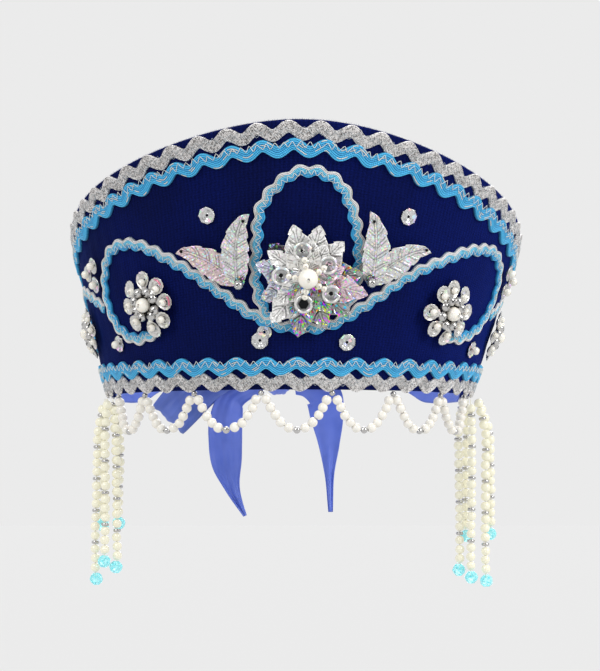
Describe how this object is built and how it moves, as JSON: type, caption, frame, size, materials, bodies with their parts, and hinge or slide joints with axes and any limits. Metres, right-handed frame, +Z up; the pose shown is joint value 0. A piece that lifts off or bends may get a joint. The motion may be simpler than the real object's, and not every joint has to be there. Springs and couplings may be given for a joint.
{
  "type": "kokoshnik headdress",
  "caption": "Flared horseshoe crown of velvet with wavy braids, foil flowers, pearl swags, tassels at the sides and a satin ribbon bow that ties it behind the head",
  "frame": {"origin": "middle of the head opening at the height of the front rim's lower edge, where the head holds it", "axes": "+Z up along the head, -Y towards the front of the crown, +X towards the wearer's left"},
  "size_m": [0.2218, 0.2297, 0.2154],
  "materials": {
    "velvet": "deep navy velvet with a short pile",
    "silver_braid": "knitted silver metallic thread",
    "blue_braid": "satin cord braid with silver thread",
    "foil": "silver and holographic sequin film",
    "pearl": "cream imitation pearl, glossy",
    "crystal": "faceted aqua glass",
    "satin": "royal blue satin ribbon"
  },
  "bodies": {
    "root": {"crown_wall": "velvet", "top_silver_ricrac": "silver_braid", "top_blue_ricrac": "blue_braid", "rim_blue_ricrac": "blue_braid", "rim_silver_ricrac": "silver_braid", "scroll_braid": "blue_braid", "loop_braid": "blue_braid", "side_braid_left": "blue_braid", "side_braid_right": "blue_braid", "leaf_left_upper": "foil", "leaf_left_lower": "foil", "leaf_right_upper": "foil", "leaf_right_lower": "foil", "leaf_bead_left": "foil", "leaf_bead_right": "foil", "sequin_upper_left": "foil", "sequin_upper_right": "foil", "sequin_lower_left": "foil", "sequin_lower_right": "foil", "sequin_outer_left": "foil", "sequin_outer_right": "foil", "flower_petal_01": "foil", "flower_petal_02": "foil", "flower_petal_03": "foil", "flower_petal_04": "foil", "flower_petal_05": "foil", "flower_petal_06": "foil", "flower_petal_07": "foil", "flower_petal_08": "foil", "flower_petal_09": "foil", "flower_petal_10": "foil", "flower_petal_11": "foil", "flower_petal_12": "foil", "flower_cup_1": "foil", "flower_cup_2": "foil", "flower_cup_3": "foil", "flower_cup_4": "foil", "flower_cup_5": "foil", "flower_pearl": "pearl", "side_flower_left": "foil", "side_flower_right": "foil", "far_flower_left": "foil", "far_flower_right": "foil", "trefoil_left": "foil", "trefoil_right": "foil", "pearl_swags": "pearl", "tassel_left": "pearl", "tassel_right": "pearl", "ribbon_tie_left": "satin", "ribbon_tie_right": "satin", "ribbon_knot": "satin", "ribbon_loop_left": "satin", "ribbon_loop_right": "satin", "ribbon_tail_left": "satin", "ribbon_tail_right": "satin"}
  },
  "joints": []
}
